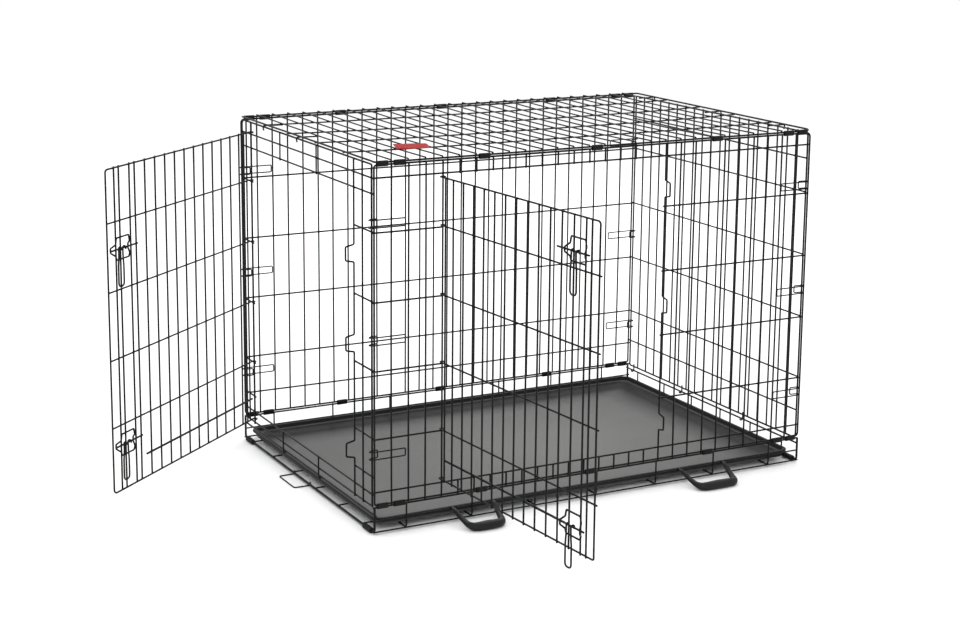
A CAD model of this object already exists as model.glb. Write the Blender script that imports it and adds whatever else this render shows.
"""Looks of the folding wire dog crate: round wires, welds, rolled clips, moulded pan and grips.

Lengths are millimetres in the crate's corner frame (x along the long side, y from the front
panel to the back, z up from the ground) and become metres when a piece is made. Door pieces
are drawn in the door's own frame: s from the hinge to the free edge, n out of the crate.
"""
import math
import random

import bmesh
import bpy
import numpy as np
from mathutils import Matrix, Vector


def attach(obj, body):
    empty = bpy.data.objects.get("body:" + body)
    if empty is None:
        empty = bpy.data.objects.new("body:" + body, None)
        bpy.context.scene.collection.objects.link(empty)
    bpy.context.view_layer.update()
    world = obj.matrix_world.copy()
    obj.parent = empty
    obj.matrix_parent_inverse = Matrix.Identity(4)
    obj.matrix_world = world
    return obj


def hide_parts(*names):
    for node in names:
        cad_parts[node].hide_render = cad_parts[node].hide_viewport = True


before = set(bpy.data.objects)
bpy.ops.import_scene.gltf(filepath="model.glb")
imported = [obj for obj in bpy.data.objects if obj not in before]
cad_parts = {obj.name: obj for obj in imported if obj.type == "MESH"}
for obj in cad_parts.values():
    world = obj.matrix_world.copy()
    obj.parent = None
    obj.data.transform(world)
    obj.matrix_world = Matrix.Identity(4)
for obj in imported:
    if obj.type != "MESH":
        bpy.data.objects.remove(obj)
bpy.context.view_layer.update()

MM = 0.001
ORIGIN = (306.923, 87.872, 0.0)    # the row frame's origin in the crate's corner frame
LENGTH = 1050.0
WIDTH = 711.0
FRONT_OPEN = 85.5
LEFT_OPEN = 50.5
CHANCE = random.Random(42)

# Wire radii and the two layers of a welded grid
GRID_R = 1.9
ROOF_R = 1.65
BASE_R = 1.75
PIN_R = 1.7                  # end panel hooks and the stubs over the left doorway
FRAME_R = 2.05
BRACE_R = 2.3
HINGE_R = 1.9
UPRIGHT_OUT = 1.5
ROW_IN = 1.6
POST_OUT = 1.1
FRAME_IN = 1.7
PANEL_CORNER = 8.0
TAIL = 2.4                   # how far a welded wire runs past the wire that it ends on
MIN_STEP = 1e-4              # a wire's points nearer than this to the one before are dropped
DOME = ((0.0, 0.55), (0.18, 0.86), (0.55, 1.0))    # depth and width of a wire's round end, in radii

# Weld beads
WELD_IN = 0.1                # the beads of a grid sit this far inside the panel's middle
BEAD_WIDE = 1.9
BEAD_FLAT = 1.0
BEAD_CUT = 0.62              # level of a bead's outer rings, as a share of its half size
BEAD_SIDES = 8
HOOK_BEAD = (1.6, 2.2, 2.2)
RIM_BEAD = (1.8, 2.2, 1.8)

# Long panels
PITCH = 37.5
BAYS = 28
TOP_Z = 752.7
PANEL_Z = 62.0
ROW_Z = (198.6, 338.6, 478.6, 618.6)
HINGE_BAY = 4
JAMB_BAY = 18
SILL_Z = 88.6
HEADER_Z = 727.0
CATCH_HALF = 18.0
CATCH_SLANT = 4.0
CATCH_OUT = 19.5
FRONT_CATCHES = (147.0, 406.0, 657.0)
HAIRPIN_Z = (165.0, 400.0, 636.0)
HAIRPIN_HALF = 7.8
HAIRPIN_R = 1.45
BACK_LOW_Z = 113.0

# End panels
END_EDGE_Y = 7.6
END_Z = 57.0
END_BAYS = 19
LEFT_HINGE_Y = 648.5
LEFT_HINGE_R = 2.25
LEFT_JAMB_Y = 92.0
LEFT_CATCHES = (155.0, 377.0, 562.0)
LEFT_STRIPS = [50.0, 677.0]
LEFT_STUBS = [279.0, 477.0]
LEFT_RAILS_Z = (82.0, 695.0, 726.0)
LEFT_ROWS_Z = (119.0, 199.0, 339.0, 479.0, 619.0)
RIGHT_ROWS_Z = (122.0, 200.0, 340.0, 481.0, 621.0, 696.0)
RIGHT_HOOKS_Y = (209.0, 464.0, 684.0)
LEFT_RIM_Z = 40.0
RIGHT_RIM_Z = 47.0
RIM_X = 3.0
HOOK_R = 4.1

# Base
GROUND_WIRE_Z = 6.0          # height of the bottom run of the posts and hoops
HOOP_R = 1.8
POST_R = 2.5
HOOP_X = tuple(71.0 + 150.0 * k for k in range(7))
HOOP_BEND = 8.0
FOOT_IN = 30.0
RIM_Z = 57.0
RIM_R = 2.0
POST_TOP_Z = RIM_Z + 1.5
LONG_WIRES = ((2.0, RIM_Z, RIM_R), (2.45, 28.0, BASE_R), (-0.95, 6.2, BASE_R))     # y, z, radius
RIM_PAST = 3.2               # how far the base's long and cross wires run past the posts
BASE_WELD_Y = 0.75
FLOOR_Z = 9.35
FLOOR_Y = tuple(52.0 + 121.4 * k for k in range(6))

# Roof
ROOF_LONG_Z = 758.0
ROOF_CROSS_Z = 761.1
ROOF_EDGE_Z = 757.5
ROOF_SHORT_Z = 759.9
ROOF_EDGE_Y = 1.1
ROOF_CORNER = 10.0
ROOF_PAST = 1.2              # how far the cross wires run past the long edge wires
ROOF_WIRES_Y = (142.0, 284.0, 427.0, 569.0)
LEFT_ROOF_HOOKS_Y = (371.0, 560.0)
RIGHT_ROOF_HOOKS_Y = (100.0, 345.0, 629.0)
ROOF_HOOK_OUT = 6.5
ROOF_SAG = 4.0
CLIP_BAYS = (0, 1, 6, 13, 21, 26, 27)

# Pan, handles and tag
PAN_X = (6.0, 1040.0)
PAN_Y = (9.0, 702.0)
PAN_LOW_Z = 12.4
PAN_TOP_Z = 29.4
PAN_SHEET = 2.2
PAN_STOP_Y = (338.0, 425.0)
CARRY_X = {"left": (175.0, 270.0), "right": (732.0, 847.0)}
TAG_CENTRE = (146.0, 133.0, 763.0)
TAG_TURN = -18.0

# Doors
ROW_CURL = 3.9
EDGE_CURL = 4.35
CURL_END = 20.0              # where a curled wire is straight again
DOOR_GRID_R = 1.95
DOOR_ROW_R = 1.8
CURL_WIRE_R = 1.5
DOOR_GRID_N = 6.85
BOLT_N = 14.1
BOLT_R = 2.0
KEEPER_R = 1.9
EYE_WIRE_R = 1.5
HANDLE_R = 1.85
EYE_R = 3.6
EDGE_N = EDGE_CURL - 0.25    # level of the door's edge wire past its curl
EDGE_WELD_N = EDGE_CURL + 1.4
BRACE_N = 3.6
BRACE_WELD_N = 5.7
HANDLE_LEGS_S = (-12.6, 6.6)     # from the middle of the latch
HANDLE_LENGTH = 79.0


# ---------------------------------------------------------------- geometry helpers

def vec(*values):
    return np.array(values, float)


def unit(rows):
    """The same directions, each one long."""
    return rows / np.linalg.norm(rows, axis=1)[:, None]


def arc(centre, radius, start, end, steps):
    """Points (a, b) on an arc, angles in degrees from the a axis."""
    angles = np.radians(np.linspace(start, end, steps + 1))
    return [(centre[0] + radius * math.cos(a), centre[1] + radius * math.sin(a)) for a in angles]


def bend(first, corner, last, steps):
    """A smooth bend from first to last that heads for the corner at both ends."""
    ts = np.linspace(0, 1, steps + 1)
    return [(1 - t) ** 2 * first + 2 * t * (1 - t) * corner + t ** 2 * last for t in ts]


def rounded(points, radius, closed=False, steps=5):
    """The polyline with each corner replaced by a smooth bend."""
    points = [vec(*p) for p in points]
    count = len(points)
    radii = radius if isinstance(radius, (list, tuple)) else [radius] * count
    path = []
    for k, corner in enumerate(points):
        if not closed and k in (0, count - 1):
            path.append(corner)
            continue
        before = points[k - 1] - corner
        after = points[(k + 1) % count] - corner
        reach_before, reach_after = np.linalg.norm(before), np.linalg.norm(after)
        before, after = before / reach_before, after / reach_after
        turn = math.pi - math.acos(float(np.clip(before @ after, -1, 1)))
        cut = min(radii[k] * math.tan(turn / 2), 0.49 * reach_before, 0.49 * reach_after)
        if turn < 0.02 or cut < 0.05:
            path.append(corner)
            continue
        path += bend(corner + before * cut, corner, corner + after * cut, steps)
    return path


def bowed(start, end, pieces, amount=0.0, axes=()):
    """A run whose middle wanders a little along the given axes, or a straight one without them."""
    start, end = vec(*start), vec(*end)
    drift = np.zeros(3)
    for axis in axes:
        drift[axis] = CHANCE.uniform(-amount, amount)
    phase = CHANCE.uniform(0.75, 1.25)
    ts = np.linspace(0, 1, pieces + 1)
    return [start + (end - start) * t + drift * math.sin(math.pi * t ** phase) for t in ts]


class Wirework:
    """Round wires and weld beads gathered into one mesh."""

    def __init__(self):
        self.verts = []
        self.faces = []

    def ring_pair(self, first, second, sides):
        for k in range(sides):
            after = (k + 1) % sides
            self.faces.append((first + k, first + after, second + after, second + k))

    def wire(self, points, radius, closed=False, sides=10, up=None):
        """A tube along the points. radius is one value, one for each point, or each point's
        (across, thickness) half sizes."""
        path = np.array(points, float)
        steps = np.linalg.norm(np.diff(path, axis=0), axis=1)
        keep = [0] + [k for k, step in enumerate(steps, 1) if step > MIN_STEP]
        sizes = np.array(radius, float)
        if sizes.ndim < 2:
            sizes = np.broadcast_to(sizes, (2, len(path))).T
        path, sizes = path[keep], sizes[keep]
        tangent = self.tangents(path, closed)
        normals = self.normals(tangent, up, closed)
        angles = np.linspace(0, 2 * math.pi, sides, endpoint=False)
        cos, sin = np.cos(angles)[:, None], np.sin(angles)[:, None]
        rings = []

        def add_ring(k, depth, scale):
            across, thick = sizes[k]
            centre = path[k] + (tangent[k] if k == 0 else -tangent[k]) * thick * depth
            rings.append(len(self.verts))
            self.verts += list(centre + across * scale * cos * normals[k]
                               + thick * scale * sin * np.cross(tangent[k], normals[k]))

        last = len(path) - 1
        for k in range(len(path)):
            if closed or 0 < k < last:
                add_ring(k, 0.0, 1.0)
            else:
                for depth, scale in DOME if k == 0 else DOME[::-1]:
                    add_ring(k, depth, scale)
        for first, second in zip(rings, rings[1:]):
            self.ring_pair(first, second, sides)
        if closed:
            self.ring_pair(rings[-1], rings[0], sides)
        else:
            self.faces.append(tuple(rings[0] + k for k in reversed(range(sides))))
            self.faces.append(tuple(rings[-1] + k for k in range(sides)))

    @staticmethod
    def tangents(path, closed):
        if closed:
            way = unit(path - np.roll(path, 1, 0))
            return unit(way + np.roll(way, -1, 0))
        tangent = unit(np.gradient(path, axis=0))
        if len(path) > 2:
            way = unit(np.diff(path, axis=0))
            tangent[1:-1] = way[:-1] + way[1:]
            tangent = unit(tangent)
        return tangent

    @staticmethod
    def normals(tangent, up, closed):
        """One normal for each point: square to up, or carried along the wire without twist."""
        if up is not None:
            return unit(np.cross(vec(*up), tangent))
        first = tangent[0]
        guess = vec(0, 0, 1) if abs(first[2]) < 0.8 else vec(1, 0, 0)
        normal = guess - first * (guess @ first)
        normal /= np.linalg.norm(normal)
        found = [normal]
        for t in tangent[1:]:
            normal = normal - t * (normal @ t)
            normal /= np.linalg.norm(normal)
            found.append(normal)
        found = np.array(found)
        if closed:
            last = found[-1] - first * (found[-1] @ first)
            last /= np.linalg.norm(last)
            twist = math.atan2(np.cross(last, found[0]) @ first, last @ found[0])
            for k, t in enumerate(tangent):
                a = twist * k / (len(tangent) - 1)
                found[k] = found[k] * math.cos(a) + np.cross(t, found[k]) * math.sin(a)
        return found

    def bead(self, centre, size):
        """A squashed weld bead between two crossing wires."""
        first = len(self.verts)
        centre = vec(*centre)
        size = vec(*size) * CHANCE.uniform(0.92, 1.08)
        for lift in (-BEAD_CUT, 0.0, BEAD_CUT):
            ring = math.sqrt(1 - lift * lift)
            for k in range(BEAD_SIDES):
                a = 2 * math.pi * k / BEAD_SIDES
                self.verts.append(centre + size * vec(ring * math.cos(a), ring * math.sin(a), lift))
        self.verts.append(centre - size * vec(0, 0, 1))
        self.verts.append(centre + size * vec(0, 0, 1))
        middle, high, bottom = (first + n * BEAD_SIDES for n in (1, 2, 3))
        self.ring_pair(first, middle, BEAD_SIDES)
        self.ring_pair(middle, high, BEAD_SIDES)
        for k in range(BEAD_SIDES):
            after = (k + 1) % BEAD_SIDES
            self.faces.append((bottom, first + after, first + k))
            self.faces.append((bottom + 1, high + k, high + after))


def to_row(verts, matrix=None):
    """Crate or door millimetres to row-frame metres."""
    co = np.array(verts, float)
    if matrix is not None:
        co = np.c_[co, np.ones(len(co))] @ np.array(matrix).T[:, :3]
    return (co - vec(*ORIGIN)) * MM


def make_piece(name, verts, faces, material, body, node, slot, sharp=45.0, matrix=None):
    """A smooth mesh piece that rides on a body and stands for one CAD node."""
    mesh = bpy.data.meshes.new(name)
    mesh.from_pydata(to_row(verts, matrix).tolist(), [], faces)
    mesh.validate()
    bm = bmesh.new()
    bm.from_mesh(mesh)
    bmesh.ops.recalc_face_normals(bm, faces=bm.faces)
    bm.to_mesh(mesh)
    bm.free()
    mesh.shade_smooth()
    mesh.set_sharp_from_angle(angle=math.radians(sharp))
    mesh.materials.append(material)
    piece = bpy.data.objects.new(name, mesh)
    bpy.context.scene.collection.objects.link(piece)
    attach(piece, body)
    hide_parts(node)


def door_matrix(hinge, turn):
    """Places door-frame millimetres in the crate's corner frame."""
    return Matrix.Translation(Vector(hinge)) @ Matrix.Rotation(math.radians(turn), 4, "Z")


# ---------------------------------------------------------------- materials

RUBBED_STEEL = (0.16, 0.16, 0.165)
# Where the pan's floor colour starts to darken and where it is darkest, in row-frame metres
PAN_DARK_X = (0.595, 0.685)
PAN_DARK_Y = (0.490, 0.565)
PAN_DARK_Z = (0.0150, 0.0200)
# The foot and the top of the pale line along the pan's ledge
PAN_LINE_FOOT = (0.0208, 0.0216)
PAN_LINE_TOP = (0.0221, 0.0228)


def material_base(name):
    material = bpy.data.materials.new(name)
    material.use_nodes = True
    tree = material.node_tree
    shader = tree.nodes["Principled BSDF"]
    place = tree.nodes.new("ShaderNodeTexCoord")
    return material, tree, shader, place.outputs["Object"]


def noise(tree, place, scale, detail=3.0, roughness=0.55):
    node = tree.nodes.new("ShaderNodeTexNoise")
    node.inputs["Scale"].default_value = scale
    node.inputs["Detail"].default_value = detail
    node.inputs["Roughness"].default_value = roughness
    tree.links.new(place, node.inputs["Vector"])
    return node.outputs["Fac"]


def ranged(tree, value, low, high, to_low=0.0, to_high=1.0):
    node = tree.nodes.new("ShaderNodeMapRange")
    node.inputs["From Min"].default_value = low
    node.inputs["From Max"].default_value = high
    node.inputs["To Min"].default_value = to_low
    node.inputs["To Max"].default_value = to_high
    tree.links.new(value, node.inputs["Value"])
    return node.outputs["Result"]


def combined(tree, operation, *values):
    """A math node; each value is a number or a socket."""
    node = tree.nodes.new("ShaderNodeMath")
    node.operation = operation
    for socket, value in zip(node.inputs, values):
        if isinstance(value, float):
            socket.default_value = value
        else:
            tree.links.new(value, socket)
    return node.outputs["Value"]


def stretched(tree, place, scale, turn=0.0, shift=(0.0, 0.0, 0.0)):
    node = tree.nodes.new("ShaderNodeMapping")
    node.inputs["Location"].default_value = shift
    node.inputs["Rotation"].default_value = (0.0, 0.0, turn)
    node.inputs["Scale"].default_value = scale
    tree.links.new(place, node.inputs["Vector"])
    return node.outputs["Vector"]


def blend_colours(tree, factor, dark, light):
    """A mix of two colours; dark can also be a socket."""
    node = tree.nodes.new("ShaderNodeMix")
    node.data_type = "RGBA"
    sockets = [s for s in node.inputs if s.type == "RGBA"]
    tree.links.new(factor, node.inputs[0])
    if isinstance(dark, tuple):
        sockets[0].default_value = (*dark, 1.0)
    else:
        tree.links.new(dark, sockets[0])
    sockets[1].default_value = (*light, 1.0)
    return [s for s in node.outputs if s.type == "RGBA"][0]


def bump(tree, shader, height, strength, distance):
    node = tree.nodes.new("ShaderNodeBump")
    node.inputs["Strength"].default_value = strength
    node.inputs["Distance"].default_value = distance
    tree.links.new(height, node.inputs["Height"])
    tree.links.new(node.outputs["Normal"], shader.inputs["Normal"])


def pebbled(tree, shader, place, scale, strength, depth):
    node = tree.nodes.new("ShaderNodeTexVoronoi")
    node.inputs["Scale"].default_value = scale
    tree.links.new(place, node.inputs["Vector"])
    bump(tree, shader, node.outputs["Distance"], strength, depth)


def coated_steel(name, dark, light, gloss, ripple, wear):
    """Black dipped wire: uneven film, fine ripple, and a few rubbed grey flecks."""
    material, tree, shader, place = material_base(name)
    broad = noise(tree, place, 14.0, 4.0)
    film = blend_colours(tree, ranged(tree, broad, 0.35, 0.65), dark, light)
    fleck = ranged(tree, noise(tree, place, 170.0, 5.0, 0.7), wear, wear + 0.06, 0.0, 0.75)
    tree.links.new(blend_colours(tree, fleck, film, RUBBED_STEEL), shader.inputs["Base Color"])
    fine = noise(tree, place, 60.0, 4.0, 0.6)
    tree.links.new(ranged(tree, fine, 0.3, 0.7, gloss - 0.07, gloss + 0.1), shader.inputs["Roughness"])
    tree.links.new(ranged(tree, fleck, 0.0, 1.0, 0.0, 0.7), shader.inputs["Metallic"])
    bump(tree, shader, noise(tree, place, ripple, 3.0), 0.35, 0.00025)
    shader.inputs["Specular IOR Level"].default_value = 0.12
    return material


def moulded_plastic(name, dark, light, gloss, grain, depth, scuff):
    """Moulded plastic with a fine pebbled grain, cloudy colour and faint scuffs."""
    material, tree, shader, place = material_base(name)
    cloud = noise(tree, place, 5.0, 5.0, 0.6)
    speck = noise(tree, place, 240.0, 2.0)
    shade = combined(tree, "MULTIPLY_ADD", speck, 0.35, cloud)
    body = blend_colours(tree, ranged(tree, shade, 0.45, 0.9), dark, light)
    rub = noise(tree, stretched(tree, place, (1.0, 9.0, 1.0), 0.35), 22.0, 6.0, 0.75)
    mark = ranged(tree, rub, 0.64, 0.72, 0.0, scuff)
    pale = tuple(min(1.0, c * 1.9 + 0.02) for c in light)
    tree.links.new(blend_colours(tree, mark, body, pale), shader.inputs["Base Color"])
    tree.links.new(ranged(tree, cloud, 0.3, 0.7, gloss - 0.05, gloss + 0.08), shader.inputs["Roughness"])
    pebbled(tree, shader, place, grain, 0.5, depth)
    shader.inputs["Specular IOR Level"].default_value = 0.2
    return material


def pan_floor_colour(tree, place):
    """Chalky grey, palest in the middle, with specks and slanting drag marks."""
    middle = tree.nodes.new("ShaderNodeTexGradient")
    middle.gradient_type = "QUADRATIC_SPHERE"
    centred = stretched(tree, place, (1.55, 2.1, 0.0), shift=(-0.48, -0.53, 0.0))
    tree.links.new(centred, middle.inputs["Vector"])
    cloud = noise(tree, place, 4.0, 5.0, 0.6)
    shade = combined(tree, "MULTIPLY_ADD", cloud, 0.5, middle.outputs["Fac"])
    chalk = blend_colours(tree, ranged(tree, shade, 0.15, 0.95), (0.058, 0.058, 0.057), (0.098, 0.097, 0.094))
    speck = ranged(tree, noise(tree, place, 520.0, 2.0), 0.56, 0.70, 0.0, 0.45)
    grained = blend_colours(tree, speck, chalk, (0.15, 0.149, 0.146))
    drag = noise(tree, stretched(tree, place, (1.0, 11.0, 1.0), 0.5), 16.0, 6.0, 0.75)
    return blend_colours(tree, ranged(tree, drag, 0.66, 0.73, 0.0, 0.16), grained, (0.22, 0.22, 0.215))


def pan_plastic(name):
    """Grained floor whose colour and shine fade up the walls and close to the back and right ones."""
    material, tree, shader, place = material_base(name)
    apart = tree.nodes.new("ShaderNodeSeparateXYZ")
    tree.links.new(place, apart.inputs["Vector"])
    x, y, z = (apart.outputs[axis] for axis in "XYZ")
    wall = combined(tree, "MAXIMUM", ranged(tree, z, *PAN_DARK_Z), ranged(tree, y, *PAN_DARK_Y))
    wall = combined(tree, "MAXIMUM", wall, ranged(tree, x, *PAN_DARK_X))
    dark = blend_colours(tree, wall, pan_floor_colour(tree, place), (0.012, 0.012, 0.0125))
    above_foot, below_top = ranged(tree, z, *PAN_LINE_FOOT), ranged(tree, z, *PAN_LINE_TOP, 1.0, 0.0)
    ledge = combined(tree, "MULTIPLY", above_foot, below_top)
    tree.links.new(blend_colours(tree, ledge, dark, (0.055, 0.055, 0.056)), shader.inputs["Base Color"])
    tree.links.new(ranged(tree, wall, 0.0, 1.0, 0.52, 0.34), shader.inputs["Roughness"])
    tree.links.new(ranged(tree, wall, 0.0, 1.0, 0.3, 0.04), shader.inputs["Specular IOR Level"])
    pebbled(tree, shader, place, 620.0, 0.45, 0.0002)
    return material


def printed_card(name):
    """Plain red card with slightly uneven ink and a fine paper grain."""
    material, tree, shader, place = material_base(name)
    mottle = noise(tree, place, 45.0, 3.0)
    ink = blend_colours(tree, ranged(tree, mottle, 0.3, 0.7), (0.24, 0.005, 0.006), (0.33, 0.010, 0.011))
    tree.links.new(ink, shader.inputs["Base Color"])
    tree.links.new(ranged(tree, mottle, 0.3, 0.7, 0.55, 0.7), shader.inputs["Roughness"])
    bump(tree, shader, noise(tree, place, 220.0, 2.0), 0.2, 0.0002)
    shader.inputs["Specular IOR Level"].default_value = 0.04
    return material


WIRE = coated_steel("coated_wire", (0.0025, 0.0025, 0.003), (0.006, 0.006, 0.0065), 0.42, 900.0, 0.80)
LATCH = coated_steel("latch_wire", (0.003, 0.003, 0.0035), (0.008, 0.008, 0.009), 0.38, 1100.0, 0.72)
CLIP = coated_steel("clip_steel", (0.003, 0.003, 0.0035), (0.007, 0.007, 0.0075), 0.42, 700.0, 0.76)
PAN = pan_plastic("pan_plastic")
GRIP = moulded_plastic("grip_plastic", (0.004, 0.004, 0.0045), (0.009, 0.009, 0.0095), 0.42, 1200.0,
                       0.00012, 0.06)
RUBBER = moulded_plastic("foot_rubber", (0.005, 0.005, 0.005), (0.011, 0.011, 0.011), 0.72, 1500.0,
                         0.00015, 0.12)
CARD = printed_card("tag_card")


# ---------------------------------------------------------------- panels

def rim_loop(work, a_range, b_range, run_level, upright_level, corner, place):
    """A bent frame wire: runs along a on one level, uprights along b on the other."""
    (a0, a1), (b0, b1) = a_range, b_range
    middle = (run_level + upright_level) / 2
    path = []
    corners = ((a1, b0, -1, 1), (a1, b1, -1, -1), (a0, b1, 1, -1), (a0, b0, 1, 1))
    for k, (a, b, in_a, in_b) in enumerate(corners):
        run_end = vec(a + in_a * corner, b, run_level)
        upright_end = vec(a, b + in_b * corner, upright_level)
        first, last = (run_end, upright_end) if k in (0, 2) else (upright_end, run_end)
        path += bend(first, vec(a, b, middle), last, 6)
    work.wire([place(*p) for p in path], FRAME_R, closed=True, sides=12)


def jamb_path(catches, low, high, place):
    """A doorway's latch side: an upright that steps out into a catch at each given height."""
    points = [place(POST_OUT, low)]
    for z in catches:
        points += [place(POST_OUT, z - CATCH_HALF), place(CATCH_OUT, z - CATCH_HALF + CATCH_SLANT)]
        points += [place(CATCH_OUT, z + CATCH_HALF - CATCH_SLANT), place(POST_OUT, z + CATCH_HALF)]
    points.append(place(POST_OUT, high))
    return rounded(points, 3.2)


def bead_size(thin_axis):
    return tuple(BEAD_FLAT if axis == thin_axis else BEAD_WIDE for axis in range(3))


def weld_grid(work, along, rows, level, thin_axis):
    """Beads where uprights and rows cross. thin_axis is the panel's thin direction."""
    for a in along:
        for b in rows:
            centre = {0: (level, a, b), 1: (a, level, b), 2: (a, b, level)}[thin_axis]
            work.bead(centre, bead_size(thin_axis))


def hairpin(work, zc, flip_x, flip_y):
    """Flat spring loop round a corner; its pocket holds the end panel's edge wire."""
    leg = [(70.0, 2.4), (-2.5, 2.4), (-7.7, 7.6), (-2.5, 12.8), (14.0, 15.0)]
    bends = [3.0, 2.5, 2.5, 3.5, 3.0]
    points = [(x, y, zc - HAIRPIN_HALF) for x, y in leg]
    points += [(x, y, zc + HAIRPIN_HALF) for x, y in reversed(leg)]
    placed = [(LENGTH - x if flip_x else x, WIDTH - y if flip_y else y, z) for x, y, z in points]
    work.wire(rounded(placed, bends + bends[::-1], closed=True), HAIRPIN_R, closed=True)


def front_panel():
    work = Wirework()
    rim_loop(work, (0.0, LENGTH), (PANEL_Z, TOP_Z), FRAME_IN, -POST_OUT, PANEL_CORNER,
             lambda a, b, level: (a, level, b))
    low, high = PANEL_Z - TAIL, TOP_Z + TAIL
    hinge_x, jamb_x = HINGE_BAY * PITCH, JAMB_BAY * PITCH
    work.wire(bowed((hinge_x, -POST_OUT, low), (hinge_x, -POST_OUT, high), 1), HINGE_R)
    work.wire(jamb_path(FRONT_CATCHES, low, high, lambda out, z: (jamb_x, -out, z)), HINGE_R)
    short = [i * PITCH for i in range(HINGE_BAY + 1, JAMB_BAY)]
    full = [i * PITCH for i in (*range(1, HINGE_BAY), *range(JAMB_BAY + 1, BAYS))]
    for x in full:
        work.wire(bowed((x, -UPRIGHT_OUT, low), (x, -UPRIGHT_OUT, high), 8, 0.9, (0,)), GRID_R)
    for x in short:
        work.wire([(x, -UPRIGHT_OUT, low), (x, -UPRIGHT_OUT, SILL_Z + TAIL)], GRID_R)
        work.wire([(x, -UPRIGHT_OUT, HEADER_Z - TAIL), (x, -UPRIGHT_OUT, high)], GRID_R)
    for z in (SILL_Z, HEADER_Z):
        work.wire(bowed((-TAIL, ROW_IN, z), (LENGTH + TAIL, ROW_IN, z), 14, 0.5, (2,)), GRID_R)
    for z in ROW_Z:
        work.wire(bowed((-TAIL, ROW_IN, z), (hinge_x + TAIL, ROW_IN, z), 4, 0.3, (2,)), GRID_R)
        work.wire(bowed((jamb_x - TAIL, ROW_IN, z), (LENGTH + TAIL, ROW_IN, z), 8, 0.6, (2,)), GRID_R)
    weld_grid(work, [0.0, hinge_x, jamb_x, LENGTH] + full, (SILL_Z, *ROW_Z, HEADER_Z), WELD_IN, 1)
    weld_grid(work, short, (SILL_Z, HEADER_Z), WELD_IN, 1)
    weld_grid(work, [hinge_x, jamb_x] + full + short, (PANEL_Z, TOP_Z), 0.0, 1)
    for z in HAIRPIN_Z:
        hairpin(work, z, False, False)
        hairpin(work, z, True, False)
    return work


def back_panel():
    work = Wirework()
    rim_loop(work, (0.0, LENGTH), (PANEL_Z, TOP_Z), WIDTH - FRAME_IN, WIDTH + POST_OUT, PANEL_CORNER,
             lambda a, b, level: (a, level, b))
    low, high = PANEL_Z - TAIL, TOP_Z + TAIL
    uprights = [i * PITCH for i in range(1, BAYS)]
    rows = (BACK_LOW_Z, *ROW_Z)
    for x in uprights:
        y = WIDTH + UPRIGHT_OUT
        work.wire(bowed((x, y, low), (x, y, high), 8, 0.9, (0,)), GRID_R)
    for z in rows:
        y = WIDTH - ROW_IN
        work.wire(bowed((-TAIL, y, z), (LENGTH + TAIL, y, z), 14, 0.9, (2,)), GRID_R)
    weld_grid(work, [0.0, LENGTH] + uprights, rows, WIDTH - WELD_IN, 1)
    weld_grid(work, uprights, (PANEL_Z, TOP_Z), WIDTH, 1)
    for z in HAIRPIN_Z:
        hairpin(work, z, False, True)
        hairpin(work, z, True, True)
    return work


def end_hook(x_wall, x_rim, y, top_z, rim_z, side):
    """A wire down the outside of an end panel that curls under the base rim."""
    hook = arc((0.0, rim_z), HOOK_R, 180.0, 350.0, 12)
    drop = [(x_wall, y, top_z), (x_wall, y, rim_z + 6.0), (x_rim - side * HOOK_R, y, rim_z + 1.5)]
    return rounded(drop, 5.0) + [vec(x_rim + side * a, y, b) for a, b in hook]


def left_end():
    work = Wirework()
    far = WIDTH - END_EDGE_Y
    rim_loop(work, (END_EDGE_Y, far), (END_Z, TOP_Z), FRAME_IN, -POST_OUT, PANEL_CORNER,
             lambda a, b, level: (level, a, b))
    low, high = END_Z - TAIL, TOP_Z + TAIL
    work.wire([(-POST_OUT, LEFT_HINGE_Y, low), (-POST_OUT, LEFT_HINGE_Y, high)], LEFT_HINGE_R)
    work.wire(jamb_path(LEFT_CATCHES, low, high, lambda out, z: (-out, LEFT_JAMB_Y, z)), HINGE_R)
    for y in LEFT_STRIPS:
        work.wire(bowed((-UPRIGHT_OUT, y, low), (-UPRIGHT_OUT, y, high), 8, 0.6, (1,)), GRID_R)
    bottom_rail, header = LEFT_RAILS_Z[:2]
    for y in LEFT_STUBS:
        work.wire([(-UPRIGHT_OUT, y, header - TAIL), (-UPRIGHT_OUT, y, high)], PIN_R)
        work.wire(end_hook(-UPRIGHT_OUT, RIM_X, y, bottom_rail + TAIL, LEFT_RIM_Z, 1), PIN_R)
    for z in LEFT_RAILS_Z:
        work.wire(bowed((ROW_IN, END_EDGE_Y - TAIL, z), (ROW_IN, far + TAIL, z), 10, 0.5, (2,)), GRID_R)
    for z in LEFT_ROWS_Z:
        work.wire([(ROW_IN, END_EDGE_Y - TAIL, z), (ROW_IN, LEFT_JAMB_Y + TAIL, z)], GRID_R)
        work.wire([(ROW_IN, LEFT_HINGE_Y - TAIL, z), (ROW_IN, far + TAIL, z)], GRID_R)
    uprights = [END_EDGE_Y, LEFT_JAMB_Y, LEFT_HINGE_Y, far] + LEFT_STRIPS
    weld_grid(work, uprights, LEFT_RAILS_Z + LEFT_ROWS_Z, WELD_IN, 0)
    weld_grid(work, LEFT_STUBS, LEFT_RAILS_Z, WELD_IN, 0)
    weld_grid(work, [LEFT_JAMB_Y, LEFT_HINGE_Y] + LEFT_STRIPS + LEFT_STUBS, (END_Z, TOP_Z), 0.0, 0)
    return work


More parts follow.
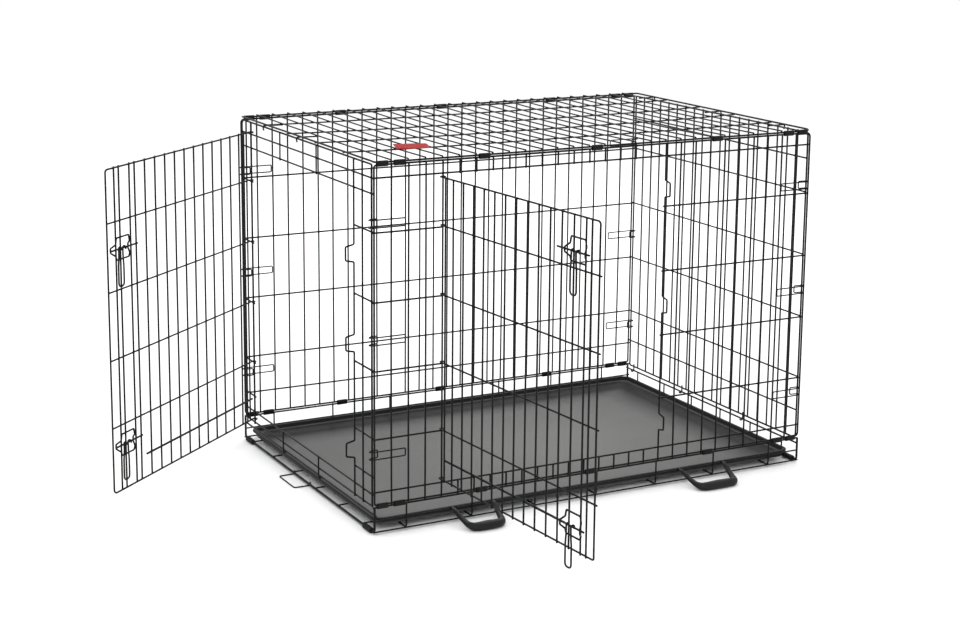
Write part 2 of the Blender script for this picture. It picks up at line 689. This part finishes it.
def right_end():
    work = Wirework()
    far = WIDTH - END_EDGE_Y
    rim_loop(work, (END_EDGE_Y, far), (END_Z, TOP_Z), LENGTH - FRAME_IN, LENGTH + POST_OUT, PANEL_CORNER,
             lambda a, b, level: (level, a, b))
    low, high = END_Z - TAIL, TOP_Z + TAIL
    step = (far - END_EDGE_Y) / END_BAYS
    uprights = [END_EDGE_Y + k * step for k in range(1, END_BAYS)]
    for y in uprights:
        x = LENGTH + UPRIGHT_OUT
        work.wire(bowed((x, y, low), (x, y, high), 8, 0.9, (1,)), GRID_R)
    for z in RIGHT_ROWS_Z:
        x = LENGTH - ROW_IN
        work.wire(bowed((x, END_EDGE_Y - TAIL, z), (x, far + TAIL, z), 10, 0.7, (2,)), GRID_R)
    for y in RIGHT_HOOKS_Y:
        hook = end_hook(LENGTH + POST_OUT, LENGTH - RIM_X, y, END_Z + 5.0, RIGHT_RIM_Z, -1)
        work.wire(hook, PIN_R)
        work.bead((LENGTH, y, END_Z), HOOK_BEAD)
    weld_grid(work, [END_EDGE_Y, far] + uprights, RIGHT_ROWS_Z, LENGTH - WELD_IN, 0)
    weld_grid(work, uprights, (END_Z, TOP_Z), LENGTH, 0)
    return work


def roof_panel():
    work = Wirework()
    rim_loop(work, (0.0, LENGTH), (ROOF_EDGE_Y, WIDTH - ROOF_EDGE_Y), ROOF_EDGE_Z, ROOF_SHORT_Z,
             ROOF_CORNER, lambda a, b, level: (a, b, level))
    edge_weld_z, cross_weld_z = ROOF_LONG_Z + 0.8, ROOF_CROSS_Z - ROOF_R
    for y in ROOF_WIRES_Y:
        work.wire(bowed((-TAIL, y, ROOF_LONG_Z), (LENGTH + TAIL, y, ROOF_LONG_Z), 26, 0.8, (1,)), ROOF_R)
    hooks = [(0.0, -1, y) for y in LEFT_ROOF_HOOKS_Y] + [(LENGTH, 1, y) for y in RIGHT_ROOF_HOOKS_Y]
    for x, side, y in hooks:
        outer_x = x + side * ROOF_HOOK_OUT
        run = [(x - side * (PITCH + TAIL), y, ROOF_LONG_Z), (outer_x, y, ROOF_LONG_Z)]
        run += [(outer_x, y, 749.6), (x + side * 4.2, y, 747.8)]
        work.wire(rounded(run, 4.5), ROOF_R)
        for bead_x, bead_z in ((x, edge_weld_z), (x - side * PITCH, cross_weld_z)):
            work.bead((bead_x, y, bead_z), bead_size(2))
    cross = [i * PITCH for i in range(1, BAYS)]
    near, far = ROOF_EDGE_Y - ROOF_PAST, WIDTH - ROOF_EDGE_Y + ROOF_PAST
    for x in cross:
        work.wire(bowed((x, near, ROOF_CROSS_Z), (x, far, ROOF_CROSS_Z), 16, 0.9, (0,)), ROOF_R)
    weld_grid(work, cross, ROOF_WIRES_Y, cross_weld_z, 2)
    weld_grid(work, cross, (ROOF_EDGE_Y, WIDTH - ROOF_EDGE_Y), cross_weld_z, 2)
    weld_grid(work, (0.0, LENGTH), ROOF_WIRES_Y, edge_weld_z, 2)

    def sag(v):
        along = np.clip(v[0] / LENGTH, 0.0, 1.0)
        across = np.clip(v[1] / WIDTH, 0.0, 1.0)
        drop = ROOF_SAG * (1 - (2 * along - 1) ** 4) * (1 - (2 * across - 1) ** 2)
        return v - vec(0, 0, drop)

    work.verts = [sag(v) for v in work.verts]
    return work


def base_frame():
    work = Wirework()
    posts = (0.0, *HOOP_X, LENGTH)
    for x in posts:
        bottom_bend = arc((HOOP_BEND - POST_OUT, GROUND_WIRE_Z + HOOP_BEND), HOOP_BEND, 180, 270, 6)
        side = [(-POST_OUT, POST_TOP_Z)] + bottom_bend
        points = [(x, y, z) for y, z in side]
        points += [(x, WIDTH - y, z) for y, z in reversed(side)]
        work.wire(points, POST_R if x in (0.0, LENGTH) else HOOP_R, sides=12)
    for back in (False, True):
        level = WIDTH - BASE_WELD_Y if back else BASE_WELD_Y
        for y, z, radius in LONG_WIRES:
            y = WIDTH - y if back else y
            work.wire(bowed((-RIM_PAST, y, z), (LENGTH + RIM_PAST, y, z), 14), radius)
            if z > HOOP_BEND:
                weld_grid(work, posts, (z,), level, 1)
    stub_x = LENGTH - RIM_X + 0.3
    for y in FLOOR_Y:
        run = [(-2.2, y, FLOOR_Z), (stub_x, y, FLOOR_Z), (stub_x, y, RIGHT_RIM_Z + 1.5)]
        work.wire(rounded(run, 8.0), BASE_R)
        for x in (0.0, *HOOP_X):
            work.bead((x, y, FLOOR_Z - 1.6), bead_size(2))
    for post, x, z in ((0.0, RIM_X, LEFT_RIM_Z), (LENGTH, LENGTH - RIM_X, RIGHT_RIM_Z)):
        work.wire(bowed((x, -RIM_PAST, z), (x, WIDTH + RIM_PAST, z), 12), RIM_R)
        for y in (0.4, WIDTH - 0.4):
            work.bead(((x + post) / 2, y, z), RIM_BEAD)
    return work


# ---------------------------------------------------------------- doors and latches

def curl(z, radius):
    """Most of a turn round the hinge wire, ending on its inner side."""
    return [(s, -n, z) for s, n in arc((0.0, 0.0), radius, 322.0, 90.0, 16)]


def door(width, low_z, top_z, corner, grid, rows, brace):
    """Bent edge wire, round curls on the hinge wire, uprights on the outside."""
    work = Wirework()
    bends = []
    for z, turn in ((low_z, 1), (top_z, -1)):
        first = vec(width - corner, -EDGE_N, z)
        last = vec(width, -DOOR_GRID_N, z + turn * corner)
        bends.append(bend(first, vec(width, -(EDGE_N + DOOR_GRID_N) / 2, z), last, 7))
    path = [*curl(low_z, EDGE_CURL), (CURL_END, -EDGE_N, low_z), *bends[0]]
    path += [*bends[1][::-1], (CURL_END, -EDGE_N, top_z), *curl(top_z, EDGE_CURL)[::-1]]
    work.wire(path, HINGE_R, sides=12)
    low, high = low_z - TAIL, top_z + TAIL
    for s in grid[1:]:
        work.wire(bowed((s, -DOOR_GRID_N, low), (s, -DOOR_GRID_N, high), 8, 0.8, (0,)), DOOR_GRID_R)
    work.wire([(grid[0], -DOOR_GRID_N, low), (grid[0], -DOOR_GRID_N, high)], HINGE_R)
    for z in rows:
        run = curl(z, ROW_CURL) + [(CURL_END, -ROW_CURL, z), (width + TAIL + 1.0, -ROW_CURL, z)]
        work.wire(run, [CURL_WIRE_R] * (len(run) - 2) + [DOOR_ROW_R] * 2)
    weld_grid(work, (*grid, width), rows, -(ROW_CURL + CURL_WIRE_R), 1)
    weld_grid(work, grid, (low_z, top_z), -EDGE_WELD_N, 1)
    z, start, end = brace
    work.wire([(start, -BRACE_N, z), (end, -BRACE_N, z)], BRACE_R, sides=12)
    weld_grid(work, [s for s in grid if start < s < end], (z,), -BRACE_WELD_N, 1)
    return work


def keeper(s, z):
    """A closed loop welded to the grid whose two stepped-out ends guide the bolt."""
    work = Wirework()
    near = -(DOOR_GRID_N + DOOR_GRID_R + KEEPER_R - 0.2)
    far = -(BOLT_N + BOLT_R + 0.35 + KEEPER_R)
    points = [(-24.0, near, -12.0), (-30.0, far, -4.6), (-30.0, far, 4.6), (-24.0, near, 12.0)]
    points += [(-21.0, near, 25.0), (23.0, near, 25.0)]
    points += [(26.0, near, 12.0), (33.0, far, 4.6), (33.0, far, -4.6), (26.0, near, -12.0)]
    points += [(23.0, near, -20.0), (-21.0, near, -20.0)]
    points = [(s + ds, n, z + dz) for ds, n, dz in points]
    work.wire(rounded(points, 3.2, closed=True), KEEPER_R, closed=True)
    return work


def bolt(s, z):
    """Slide rod with rounded ends and two crimps that keep the handle's eyes between them."""
    work = Wirework()
    rod, crimp = (BOLT_R, BOLT_R), (2.7, 1.5)
    stations = ((-60.0, rod), (-17.5, rod), (-16.2, crimp), (-14.8, crimp), (-13.9, rod),
                (8.0, rod), (9.0, crimp), (10.4, crimp), (11.6, rod), (40.0, rod))
    points = [(s + ds, -BOLT_N, z) for ds, _ in stations]
    work.wire(points, [size for _, size in stations], sides=14, up=(0.0, 1.0, 0.0))
    return work


def latch_handle(s, z):
    """Long U of wire hanging from two eyes round the bolt."""
    work = Wirework()
    eye = arc((BOLT_N, z), EYE_R, 250.0, 0.0, 14)
    out = -(BOLT_N + EYE_R)
    left = [vec(s - 12.0 + 0.12 * k, -n, h) for k, (n, h) in enumerate(eye)]
    right = [vec(s + 6.0 - 0.12 * k, -n, h) for k, (n, h) in enumerate(eye)]
    left_s, right_s = (s + ds for ds in HANDLE_LEGS_S)
    turn = [left[-1], (s - 10.6, out, z - 18.0), (left_s, out, z - 36.0), (left_s, out, z - HANDLE_LENGTH),
            (right_s, out, z - HANDLE_LENGTH), (right_s, out, z - 36.0), (s + 4.6, out, z - 18.0), right[-1]]
    bends = rounded(turn, [0.0, 12.0, 20.0, 8.5, 8.5, 20.0, 12.0, 0.0], steps=7)
    path = left[:-1] + bends + right[::-1][1:]
    thin = len(left) - 2
    radii = [EYE_WIRE_R] * thin + [HANDLE_R] * (len(path) - 2 * thin) + [EYE_WIRE_R] * thin
    work.wire(path, radii, sides=12)
    return work


# ---------------------------------------------------------------- small parts

def loft(rings, closed_ends=True):
    """Verts and faces from equal rings of points."""
    verts = [p for ring in rings for p in ring]
    size = len(rings[0])
    faces = []
    for r in range(len(rings) - 1):
        for k in range(size):
            after = (k + 1) % size
            faces.append((r * size + k, r * size + after, (r + 1) * size + after, (r + 1) * size + k))
    if closed_ends:
        faces.append(tuple(range(size))[::-1])
        faces.append(tuple((len(rings) - 1) * size + k for k in range(size)))
    return verts, faces


def pan_shape():
    """Moulded tray: drafted walls, a rolled lip, a ledge inside it and a wide cove to the floor."""
    def ring(inset, corner, z):
        x0, x1, y0, y1 = PAN_X[0] + inset, PAN_X[1] - inset, PAN_Y[0] + inset, PAN_Y[1] - inset
        corners = ((x1, y1, 1, 1, 0.0), (x0, y1, -1, 1, 90.0),
                   (x0, y0, -1, -1, 180.0), (x1, y0, 1, -1, 270.0))
        points = []
        for x, y, sx, sy, start in corners:
            centre = (x - sx * corner, y - sy * corner)
            points += [(a, b, z) for a, b in arc(centre, corner, start, start + 90.0, 10)]
        return points

    low, top, floor = PAN_LOW_Z, PAN_TOP_Z, PAN_LOW_Z + PAN_SHEET
    underside = [(12.0, 12.0, low), (9.6, 14.0, low + 0.5), (8.4, 15.5, low + 2.0), (6.0, 18.0, top - 4.0)]
    under_lip = [(5.4, 18.6, top - 3.0), (4.6, 19.4, top - 2.6),
                 (1.4, 22.6, top - 2.6), (0.9, 23.1, top - 3.4)]
    lip = [(0.2, 23.8, top - 3.6), (0.0, 24.0, top - 2.8), (0.0, 24.0, top - 1.2), (0.35, 23.65, top - 0.45),
           (1.1, 22.9, top - 0.05), (2.0, 22.0, top), (6.2, 17.8, top), (7.4, 16.6, top - 0.35),
           (8.1, 15.9, top - 1.2), (8.6, 15.6, top - 2.2)]
    ledge = [(10.2, 15.4, 23.6), (10.9, 15.6, 22.7), (12.0, 16.2, 22.2),
             (15.6, 19.0, 21.8), (17.0, 20.0, 21.4)]
    cove = [(18.4, 21.0, 20.6), (23.0, 25.0, 18.7), (30.0, 31.0, 16.9), (38.0, 37.0, 15.6),
            (47.0, 43.0, floor + 0.25), (56.0, 49.0, floor + 0.05), (64.0, 54.0, floor)]
    return loft([ring(*p) for p in underside + under_lip + lip + ledge + cove])


def rolled_clip():
    """Sheet strip rolled round two stacked wires, its seam open on one side; about y = 0, z = 0."""
    wall, half, reach = 0.9, 2.75, 2.35
    outline = []
    for start, end, centre in ((-78.0, -180.0, -reach), (180.0, 0.0, reach), (0.0, -98.0, -reach)):
        for a in np.radians(np.linspace(start, end, 9)):
            outline.append((math.cos(a), math.sin(a), centre))
    outer = [vec((half + wall) * c, (half + wall) * s + z) for c, s, z in outline]
    inner = [vec(half * c, half * s + z) for c, s, z in outline]
    rings = []
    soft_end = [(12.0, 0.35), (11.75, 0.12), (11.4, 0.0)]
    for x, shrink in [(-x, shrink) for x, shrink in soft_end] + soft_end[::-1]:
        ring = [(x, *(o + (i - o) * shrink)) for o, i in zip(outer, inner)]
        ring += [(x, *(i + (o - i) * shrink)) for o, i in zip(outer[::-1], inner[::-1])]
        rings.append(ring)
    verts, faces = loft(rings, closed_ends=False)
    count = len(outer)
    for base, flip in ((0, False), ((len(rings) - 1) * 2 * count, True)):
        for k in range(count - 1):
            quad = (base + k, base + k + 1, base + 2 * count - 2 - k, base + 2 * count - 1 - k)
            faces.append(quad[::-1] if flip else quad)
    return np.array(verts), faces


def foot_shape(x, y):
    """Rubber sleeve with soft ends and three shallow grooves."""
    profile = [(-18.0, 3.2), (-18.0, 5.0), (-17.5, 5.7), (-16.4, 6.0)]
    for groove in (-8.0, 0.0, 8.0):
        profile += [(groove - 1.4, 6.0), (groove - 0.7, 5.55), (groove + 0.7, 5.55), (groove + 1.4, 6.0)]
    profile += [(16.4, 6.0), (17.5, 5.7), (18.0, 5.0), (18.0, 3.2), (15.0, 2.95), (-15.0, 2.95)]
    turns = [(math.sin(a), math.cos(a)) for a in np.radians(np.linspace(0, 360, 24, endpoint=False))]
    rings = [[(x + radius * across, y + dy, GROUND_WIRE_Z + radius * rise) for across, rise in turns]
             for dy, radius in profile]
    verts, faces = loft(rings + rings[:1], closed_ends=False)
    size = len(rings[0])
    total = len(rings) * size
    faces = [tuple(v % total for v in f) for f in faces]
    return verts[:total], faces


def carry_handle(x0, x1):
    """Stations of a moulded D, as x, y, z and half sizes: hooked ends, flat arms and a thick grip."""
    hook = arc((2.6, 28.0), BASE_R + 2.2, -40.0, 90.0, 8)
    arm = [(0.0, y, z, 1.8, 1.8) for y, z in hook]
    arm += [(0.0, -1.5, 31.3, 2.2, 2.1), (0.8, -9.0, 29.2, 4.2, 3.0), (2.5, -19.0, 25.0, 6.0, 3.4),
            (5.0, -34.0, 18.4, 6.4, 3.6), (7.5, -48.0, 13.4, 7.0, 4.6), (10.5, -58.0, 10.6, 8.0, 6.6),
            (16.5, -66.0, 9.0, 9.4, 8.2), (27.0, -69.5, 8.9, 10.6, 8.6)]
    left = [(x0 + dx, *rest) for dx, *rest in arm]
    right = [(x1 - dx, *rest) for dx, *rest in reversed(arm)]
    return left + [((x0 + x1) / 2, -69.0, 8.9, 12.2, 8.8)] + right


def smooth_path(stations, steps):
    """Catmull-Rom through the stations, as points and sizes."""
    data = np.array(stations, float)
    padded = np.vstack([2 * data[0] - data[1], data, 2 * data[-1] - data[-2]])
    found = []
    for k in range(1, len(padded) - 2):
        p0, p1, p2, p3 = padded[k - 1:k + 3]
        for t in np.linspace(0, 1, steps, endpoint=False):
            found.append(0.5 * (2 * p1 + (p2 - p0) * t + (2 * p0 - 5 * p1 + 4 * p2 - p3) * t ** 2
                                + (3 * p1 - p0 - 3 * p2 + p3) * t ** 3))
    found.append(data[-1])
    found = np.array(found)
    return found[:, :3], found[:, 3:]


def pan_stop():
    """A flat wire loop that hangs from the left ground wire by two open eyes."""
    work = Wirework()
    near, far = PAN_STOP_Y
    reach, eye_r = 33.0, 4.45
    low = GROUND_WIRE_Z - eye_r
    eye = arc((0.0, GROUND_WIRE_Z), eye_r, 55.0, -90.0, 10)
    left = [vec(x, near, h) for x, h in eye]
    right = [vec(x, far, h) for x, h in eye]
    loop = rounded([left[-1], (-reach, near, low), (-reach, far, low), right[-1]], 7.0, steps=7)
    work.wire(left[:-1] + loop + right[::-1][1:], 1.5, sides=12)
    return work


def tag_shape():
    """Thin card with rounded corners, lifted and curled a little at one side."""
    half_x, half_y, corner, thick = 35.0, 31.0, 5.0, 0.5
    turn = math.radians(TAG_TURN)
    columns, rows = 15, 13
    straight_x, straight_y = half_x - corner, half_y - corner
    verts, faces = [], []
    for side in (0, 1):
        for j in range(rows):
            for i in range(columns):
                u, v = 2 * i / (columns - 1) - 1, 2 * j / (rows - 1) - 1
                x, y = u * half_x, v * half_y
                past = vec(abs(x) - straight_x, abs(y) - straight_y)
                if min(past) > 0:
                    past = past / np.linalg.norm(past) * max(past)
                    x, y = math.copysign(straight_x + past[0], x), math.copysign(straight_y + past[1], y)
                curl_up = 0.35 * max(0.0, u - 0.3) ** 2 - 0.5 * max(0.0, -v - 0.2) ** 2
                z = (curl_up + 0.12 * math.sin(3 * u + v)) * 2.0 - 0.25 + side * thick
                verts.append(vec(*TAG_CENTRE) + vec(x * math.cos(turn) - y * math.sin(turn),
                                                    x * math.sin(turn) + y * math.cos(turn), z))
    layer = columns * rows
    for side in (0, 1):
        for j in range(rows - 1):
            for i in range(columns - 1):
                a = side * layer + j * columns + i
                quad = (a, a + 1, a + columns + 1, a + columns)
                faces.append(quad if side else quad[::-1])
    border = list(range(columns)) + [columns * (j + 1) - 1 for j in range(1, rows)]
    border += [layer - 1 - j for j in range(1, columns)]
    border += [columns * (rows - 1 - j) for j in range(1, rows - 1)]
    for a, b in zip(border, border[1:] + border[:1]):
        faces.append((a, b, b + layer, a + layer))
    return verts, faces


# ---------------------------------------------------------------- pieces

def wire_piece(name, work, material, body, node, slot, matrix=None):
    make_piece(name, work.verts, work.faces, material, body, node, slot, matrix=matrix)


wire_piece("front_grid", front_panel(), WIRE, "crate", "front_panel", "wire")
wire_piece("back_grid", back_panel(), WIRE, "crate", "back_panel", "wire")
wire_piece("roof_grid", roof_panel(), WIRE, "crate", "roof_panel", "wire")
wire_piece("base_wires", base_frame(), WIRE, "crate", "base_frame", "wire")
wire_piece("left_end_grid", left_end(), WIRE, "left_end", "left_end_panel", "wire")
wire_piece("right_end_grid", right_end(), WIRE, "right_end", "right_end_panel", "wire")

FRONT_DOOR_GRID = [21.5] + [50.3 + 37.1 * k for k in range(13)] + [513.0]
FRONT_DOOR_ROWS = (203.0, 343.0, 483.0, 623.0)
LEFT_DOOR_GRID = [21.5, 43.7] + [82.0 + 38.3 * k for k in range(11)] + [484.0, 522.0, 539.0]
LEFT_DOOR_ROWS = (203.4, 343.4, 483.4, 623.4)
DOORS = {
    "front_door": {
        "hinge": (HINGE_BAY * PITCH, -POST_OUT, 0.0), "turn": -FRONT_OPEN,
        "latch_s": 476.0, "latch_z": {"upper": FRONT_CATCHES[2], "lower": FRONT_CATCHES[0]},
        "shape": {"width": 537.0, "low_z": 98.0, "top_z": 720.0, "corner": 10.0,
                  "grid": FRONT_DOOR_GRID, "rows": FRONT_DOOR_ROWS, "brace": (141.0, 16.0, 441.0)},
    },
    "left_door": {
        "hinge": (-POST_OUT, LEFT_HINGE_Y, 0.0), "turn": -90.0 - LEFT_OPEN,
        "latch_s": 507.5, "latch_z": {"upper": LEFT_CATCHES[2], "lower": LEFT_CATCHES[0]},
        "shape": {"width": 568.5, "low_z": 67.0, "top_z": 731.5, "corner": 5.5,
                  "grid": LEFT_DOOR_GRID, "rows": LEFT_DOOR_ROWS, "brace": (116.0, 5.0, 450.0)},
    },
}
for name, spec in DOORS.items():
    matrix = door_matrix(spec["hinge"], spec["turn"])
    wire_piece(f"{name}_grid", door(**spec["shape"]), WIRE, name, name, "wire", matrix)
    for level, z in spec["latch_z"].items():
        label = f"{name}_{level}"
        for part, shape, body in (("keeper_wire", keeper, name), ("bolt_rod", bolt, f"{label}_bolt"),
                                  ("handle_wire", latch_handle, f"{label}_handle")):
            node = f"{label}_{part.split('_')[0]}"
            wire_piece(f"{label}_{part}", shape(spec["latch_s"], z), LATCH, body, node, "latch_wire", matrix)

make_piece("pan_tray", *pan_shape(), PAN, "pan", "pan", "pan_plastic", sharp=60.0)
wire_piece("pan_stop_wire", pan_stop(), LATCH, "pan_stop", "pan_stop", "latch_wire")
for side, span in CARRY_X.items():
    grip = Wirework()
    grip.wire(*smooth_path(carry_handle(*span), 4), sides=20, up=(0.0, -0.15, 1.0))
    node = f"carry_handle_{side}"
    wire_piece(f"carry_grip_{side}", grip, GRIP, node, node, "grip_plastic")
for x, end in ((0.0, "left"), (LENGTH, "right")):
    for y, side in ((FOOT_IN, "front"), (WIDTH - FOOT_IN, "back")):
        verts, faces = foot_shape(x, y)
        name = f"{end}_{side}"
        make_piece(f"foot_sleeve_{name}", verts, faces, RUBBER, "crate", f"foot_{name}", "foot_rubber")
clip_verts, clip_faces = rolled_clip()
for level, low_z, high_z, in_y in (("bottom", RIM_Z, PANEL_Z, 1.45), ("top", TOP_Z, ROOF_EDGE_Z, 1.3)):
    for side, y, facing in (("front", in_y, vec(1, 1, 1)), ("back", WIDTH - in_y, vec(-1, -1, 1))):
        for number, bay in enumerate(CLIP_BAYS, 1):
            place = vec((bay + 0.5) * PITCH, y, (low_z + high_z) / 2)
            name = f"{side}_{level}_{number}"
            make_piece(f"rolled_clip_{name}", clip_verts * facing + place, clip_faces, CLIP, "crate",
                       f"clip_{name}", "clip_steel")
make_piece("red_tag_card", *tag_shape(), CARD, "crate", "roof_tag", "tag_card", sharp=50.0)


# ---------------------------------------------------------------- studio

KEY_LIGHT = {"place": (-1.6, -2.6, 3.4), "target": (0.2, 0.2, 0.3), "size": 2.6, "power": 60.0}
BACK_LIGHT = {"place": (1.8, 2.8, 3.0), "target": (0.2, 0.2, 0.0), "size": 3.0, "power": 60.0}
SKY_STRENGTH = 1.07
CAMERA_PLACE = (-1.82776, -3.37811, 1.34491)
CAMERA_YAW, CAMERA_PITCH, CAMERA_ROLL = 0.49, -0.1931, 0.009
CAMERA_LENS = 71.129
CAMERA_SHIFT_Y = -0.0917


def studio_floor():
    mesh = bpy.data.meshes.new("studio_floor")
    half = 60.0
    corners = [(-half, -half, 0), (half, -half, 0), (half, half, 0), (-half, half, 0)]
    mesh.from_pydata(corners, [], [(0, 1, 2, 3)])
    material, tree, shader, place = material_base("studio_floor")
    shader.inputs["Roughness"].default_value = 0.9
    shader.inputs["Specular IOR Level"].default_value = 0.1
    tint = ranged(tree, noise(tree, place, 0.7, 2.0), 0.3, 0.7)
    pale = blend_colours(tree, tint, (0.93, 0.93, 0.93), (0.95, 0.95, 0.95))
    tree.links.new(pale, shader.inputs["Base Color"])
    mesh.materials.append(material)
    floor = bpy.data.objects.new("studio_floor", mesh)
    bpy.context.scene.collection.objects.link(floor)


def area_light(name, place, target, size, power):
    light = bpy.data.lights.new(name, "AREA")
    light.shape = "DISK"
    light.size = size
    light.energy = power
    lamp = bpy.data.objects.new(name, light)
    lamp.location = place
    lamp.rotation_euler = (Vector(target) - Vector(place)).to_track_quat("-Z", "Y").to_euler()
    bpy.context.scene.collection.objects.link(lamp)


def studio_world():
    world = bpy.data.worlds.new("studio")
    world.use_nodes = True
    back = world.node_tree.nodes["Background"]
    back.inputs["Color"].default_value = (1.0, 1.0, 1.0, 1.0)
    back.inputs["Strength"].default_value = SKY_STRENGTH
    bpy.context.scene.world = world
    bpy.context.scene.view_settings.view_transform = "Standard"


def studio_camera():
    """Three-quarter view from the front left, a little above the roof."""
    level = math.cos(CAMERA_PITCH)
    forward = vec(math.sin(CAMERA_YAW) * level, math.cos(CAMERA_YAW) * level, math.sin(CAMERA_PITCH))
    right = np.cross(forward, vec(0, 0, 1))
    right /= np.linalg.norm(right)
    up = np.cross(right, forward)
    cos, sin = math.cos(CAMERA_ROLL), math.sin(CAMERA_ROLL)
    turned_right, turned_up = cos * right + sin * up, -sin * right + cos * up
    camera = bpy.data.cameras.new("camera")
    camera.lens = CAMERA_LENS
    camera.sensor_width = 36.0
    camera.shift_y = CAMERA_SHIFT_Y
    camera.clip_end = 200.0
    viewer = bpy.data.objects.new("camera", camera)
    rows = np.c_[turned_right, turned_up, -forward]
    viewer.matrix_world = Matrix([[*row, c] for row, c in zip(rows, CAMERA_PLACE)] + [[0, 0, 0, 1]])
    bpy.context.scene.collection.objects.link(viewer)
    bpy.context.scene.camera = viewer


studio_floor()
studio_world()
studio_camera()
area_light("key", **KEY_LIGHT)
area_light("back_soft", **BACK_LIGHT)
